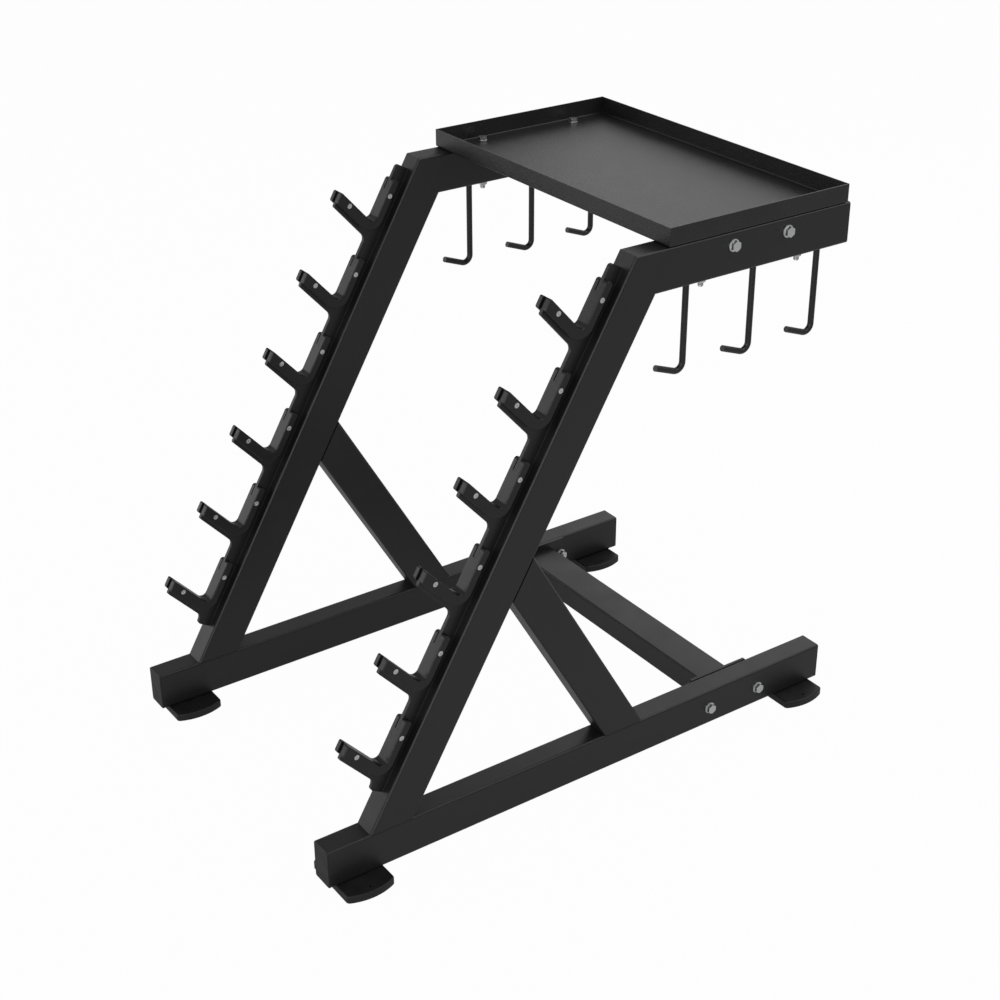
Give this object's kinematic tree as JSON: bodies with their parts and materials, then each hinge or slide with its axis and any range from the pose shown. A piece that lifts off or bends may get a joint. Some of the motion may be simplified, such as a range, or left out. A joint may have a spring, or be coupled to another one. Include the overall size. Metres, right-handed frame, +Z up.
{
  "type": "barbell rack",
  "caption": "Free-standing barbell rack: leaning side frames carry V-shaped cradles with moulded liners, with an accessory tray on top and rod hooks under it.",
  "frame": {"origin": "on the floor, under the middle of the base, half way between the side frames", "axes": "+X to the right seen from the loading side, +Y from the front (loading) side to the back, +Z up"},
  "size_m": [0.84, 1.2, 1.1135],
  "materials": {
    "frame_steel": "satin black powder coat",
    "tray_steel": "fine textured black powder coat",
    "liner_polymer": "moulded black polymer with a fine grain",
    "cap_plastic": "moulded black plastic",
    "foot_rubber": "moulded black rubber",
    "zinc_hardware": "bright zinc plated steel"
  },
  "bodies": {
    "root": {"base_tube_right": "frame_steel", "upright_right": "frame_steel", "top_tube_right": "frame_steel", "brace_right": "frame_steel", "comb_plate_right": "frame_steel", "lower_flange_right": "frame_steel", "upper_flange_right": "frame_steel", "base_front_cap_right": "cap_plastic", "base_rear_cap_right": "cap_plastic", "top_rear_cap_right": "cap_plastic", "front_foot_right": "foot_rubber", "rear_foot_right": "foot_rubber", "liner_right_1": "liner_polymer", "liner_right_2": "liner_polymer", "liner_right_3": "liner_polymer", "liner_right_4": "liner_polymer", "liner_right_5": "liner_polymer", "liner_right_6": "liner_polymer", "hook_right_1": "frame_steel", "hook_right_2": "frame_steel", "hook_right_3": "frame_steel", "liner_screws_right": "zinc_hardware", "liner_nuts_right": "zinc_hardware", "base_tube_left": "frame_steel", "upright_left": "frame_steel", "top_tube_left": "frame_steel", "brace_left": "frame_steel", "comb_plate_left": "frame_steel", "lower_flange_left": "frame_steel", "upper_flange_left": "frame_steel", "base_front_cap_left": "cap_plastic", "base_rear_cap_left": "cap_plastic", "top_rear_cap_left": "cap_plastic", "front_foot_left": "foot_rubber", "rear_foot_left": "foot_rubber", "liner_left_1": "liner_polymer", "liner_left_2": "liner_polymer", "liner_left_3": "liner_polymer", "liner_left_4": "liner_polymer", "liner_left_5": "liner_polymer", "liner_left_6": "liner_polymer", "hook_left_1": "frame_steel", "hook_left_2": "frame_steel", "hook_left_3": "frame_steel", "liner_screws_left": "zinc_hardware", "liner_nuts_left": "zinc_hardware", "lower_cross_tube": "frame_steel", "upper_cross_tube": "frame_steel", "tray": "tray_steel", "frame_bolts": "zinc_hardware", "frame_washers": "zinc_hardware", "frame_nuts": "zinc_hardware", "tray_bolts": "zinc_hardware", "tray_washers": "zinc_hardware", "tray_nuts": "zinc_hardware", "foot_screws": "zinc_hardware"}
  },
  "joints": []
}
